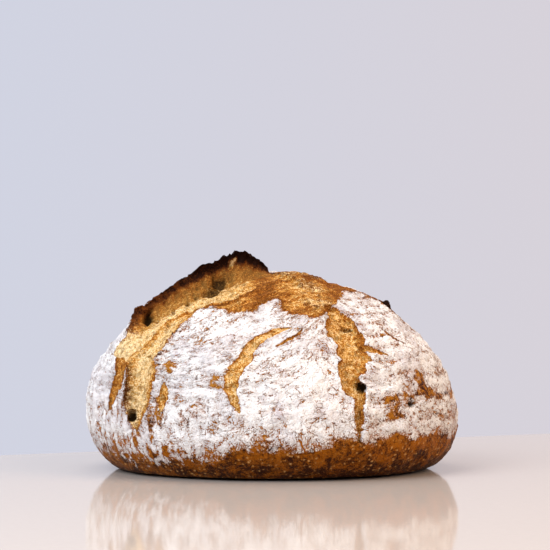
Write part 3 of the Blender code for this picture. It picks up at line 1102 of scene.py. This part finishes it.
def baked_crust(colours):
    """Flour crackled over brown crust; crumb from cream to brown in the openings; char on the ear; amber,
    blistered crust below the flour."""
    finish = CrustFinish(colours)
    whole = finish.mix(finish.edge, finish.floured_crust(), finish.torn_crumb())
    dry = finish.dusted * (1.0 - finish.edge)
    return finish.surface(
        Base_Color=finish.holed(finish.charred(whole)),
        Roughness=0.46 + dry * 0.45 + finish.edge * 0.30,
        Normal=finish.bump(finish.relief(), 0.0009, 0.9),
        Specular_IOR_Level=0.07,
    )


def pale_worktop(colour):
    """A pale, faintly speckled worktop with a soft gloss."""
    finish = Finish("pale_worktop")
    speckle = finish.noise(finish.position(), 260.0, 2.0, 0.5)
    darker = tuple(0.94 * part for part in colour)
    speckled = finish.mix(speckle, darker, colour)
    return finish.surface(Base_Color=speckled, Roughness=0.07, Specular_IOR_Level=0.12)


# ----------------------------------------------------------------------------------------------------
# Operators


def add_piece(name, mesh, material):
    mesh.materials.append(material)
    piece = bpy.data.objects.new(name, mesh)
    bpy.context.scene.collection.objects.link(piece)
    return piece


class LOAF_OT_bake(bpy.types.Operator):
    """Build the loaf: its skin, scores, ear, crumb and flour"""

    bl_idname = "loaf.bake"
    bl_label = "Bake the loaf"

    def execute(self, context):
        scene = context.scene
        loaf = add_piece("baked_loaf", make_loaf(scene.loaf_sizes), baked_crust(scene.loaf_colours))
        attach(loaf, "root")
        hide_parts(NODE)
        return {"FINISHED"}


# The worktop's far edge: how far behind the loaf's middle it passes, and how far it is turned, in degrees
EDGE_BEHIND = 0.159
EDGE_TURN = 27.7
TOP_REACH = 1.6
TOP_THICK = 0.03
# How far to each side, as a share of the view's distance, the backdrop turns from cool to warm
AIR_SPREAD = 0.16
# Where the camera stands and what it looks at, and what the lights look at
EYE_PLACE = (0.0, -1.0901, 0.09537)
EYE_TARGET = (0.00178, 0.0, 0.11416)
SENSOR_WIDTH = 36.0
LIT_PLACE = (0.0, 0.0, 0.05)


def worktop_mesh():
    """A thin slab: a rectangle with its far side on the worktop's edge line and its top at zero height."""
    turn = np.radians(EDGE_TURN)
    along = np.array((np.cos(turn), np.sin(turn)))
    back = np.array((-np.sin(turn), np.cos(turn)))
    near_side = [side * along - TOP_REACH * back for side in (-TOP_REACH, TOP_REACH)]
    far_side = [side * along + EDGE_BEHIND * back for side in (TOP_REACH, -TOP_REACH)]
    corners = near_side + far_side
    top = [(x, y, 0.0) for x, y in corners]
    under = [(x, y, -TOP_THICK) for x, y in corners]
    faces = [(0, 1, 2, 3), (7, 6, 5, 4), (0, 4, 5, 1), (1, 5, 6, 2), (2, 6, 7, 3), (3, 7, 4, 0)]
    mesh = bpy.data.meshes.new("worktop")
    mesh.from_pydata(top + under, [], faces)
    return mesh


def aim(thing, target):
    thing.rotation_euler = (Vector(target) - thing.location).to_track_quat("-Z", "Y").to_euler()


def add_softbox(name, power, colour, side, place):
    """A square lamp that faces the loaf."""
    light = bpy.data.lights.new(name, "AREA")
    light.energy = power
    light.color = colour
    light.shape = "SQUARE"
    light.size = side
    lamp = bpy.data.objects.new(name, light)
    lamp.location = place
    aim(lamp, LIT_PLACE)
    bpy.context.scene.collection.objects.link(lamp)


def add_camera(lens):
    camera = bpy.data.cameras.new("camera")
    camera.lens = lens
    camera.sensor_width = SENSOR_WIDTH
    eye = bpy.data.objects.new("camera", camera)
    eye.location = EYE_PLACE
    aim(eye, EYE_TARGET)
    bpy.context.scene.collection.objects.link(eye)
    return eye


def soft_air(stage):
    """A world that shows the backdrop's colour and lights the loaf with a dimmer, more neutral one."""
    world = bpy.data.worlds.new("soft_air")
    world.use_nodes = True
    nodes, links = world.node_tree.nodes, world.node_tree.links
    shown = nodes["Background"]
    facing = nodes.new("ShaderNodeTexCoord")
    split = nodes.new("ShaderNodeSeparateXYZ")
    across = nodes.new("ShaderNodeMapRange")
    across.inputs["From Min"].default_value = -AIR_SPREAD
    across.inputs["From Max"].default_value = AIR_SPREAD
    blend = nodes.new("ShaderNodeMix")
    blend.data_type = "RGBA"
    blend.inputs[6].default_value = (*stage.air, 1.0)
    blend.inputs[7].default_value = (*stage.warm_air, 1.0)
    links.new(facing.outputs["Generated"], split.inputs[0])
    links.new(split.outputs["X"], across.inputs["Value"])
    links.new(across.outputs[0], blend.inputs[0])
    links.new(blend.outputs[2], shown.inputs["Color"])
    cast = nodes.new("ShaderNodeBackground")
    cast.inputs["Color"].default_value = (*stage.ambient, 1.0)
    rays = nodes.new("ShaderNodeLightPath")
    pick = nodes.new("ShaderNodeMixShader")
    links.new(rays.outputs["Is Diffuse Ray"], pick.inputs[0])
    links.new(shown.outputs[0], pick.inputs[1])
    links.new(cast.outputs[0], pick.inputs[2])
    links.new(pick.outputs[0], nodes["World Output"].inputs["Surface"])
    return world


class LOAF_OT_set_stage(bpy.types.Operator):
    """Lay the worktop, light it softly and place the camera"""

    bl_idname = "loaf.set_stage"
    bl_label = "Set the stage"

    def execute(self, context):
        scene = context.scene
        stage = scene.loaf_stage
        floor = add_piece("worktop", worktop_mesh(), pale_worktop(stage.floor))

        scene.world = soft_air(stage)
        scene.view_settings.view_transform = "Standard"

        add_softbox("window", stage.key_power, (0.88, 0.94, 1.0), 0.9, (-0.75, -0.85, 0.95))
        add_softbox("warm_fill", stage.fill_power, (1.0, 0.70, 0.44), 0.8, (1.0, -0.45, 0.85))
        add_softbox("overhead", stage.top_power, (1.0, 0.99, 0.97), 0.8, (-0.1, 0.25, 1.2))
        scene.camera = add_camera(stage.lens)
        return {"FINISHED"}


class LOAF_PT_panel(bpy.types.Panel):
    """The loaf's sizes, colours and steps"""

    bl_idname = "LOAF_PT_panel"
    bl_label = "Sourdough Loaf"
    bl_space_type = "VIEW_3D"
    bl_region_type = "UI"
    bl_category = "Loaf"

    def draw(self, context):
        for group in (context.scene.loaf_sizes, context.scene.loaf_colours, context.scene.loaf_stage):
            box = self.layout.box()
            for name in group.__annotations__:
                box.prop(group, name)
        for operator in (LOAF_OT_bake, LOAF_OT_set_stage):
            self.layout.operator(operator.bl_idname)


CLASSES = (LoafSizes, LoafColours, LoafStage, LOAF_OT_bake, LOAF_OT_set_stage, LOAF_PT_panel)


def register():
    for cls in CLASSES:
        bpy.utils.register_class(cls)
    bpy.types.Scene.loaf_sizes = PointerProperty(type=LoafSizes)
    bpy.types.Scene.loaf_colours = PointerProperty(type=LoafColours)
    bpy.types.Scene.loaf_stage = PointerProperty(type=LoafStage)


def unregister():
    del bpy.types.Scene.loaf_stage
    del bpy.types.Scene.loaf_colours
    del bpy.types.Scene.loaf_sizes
    for cls in reversed(CLASSES):
        bpy.utils.unregister_class(cls)


def main():
    register()
    bpy.ops.loaf.bake()
    bpy.ops.loaf.set_stage()


if __name__ == "__main__":
    main()
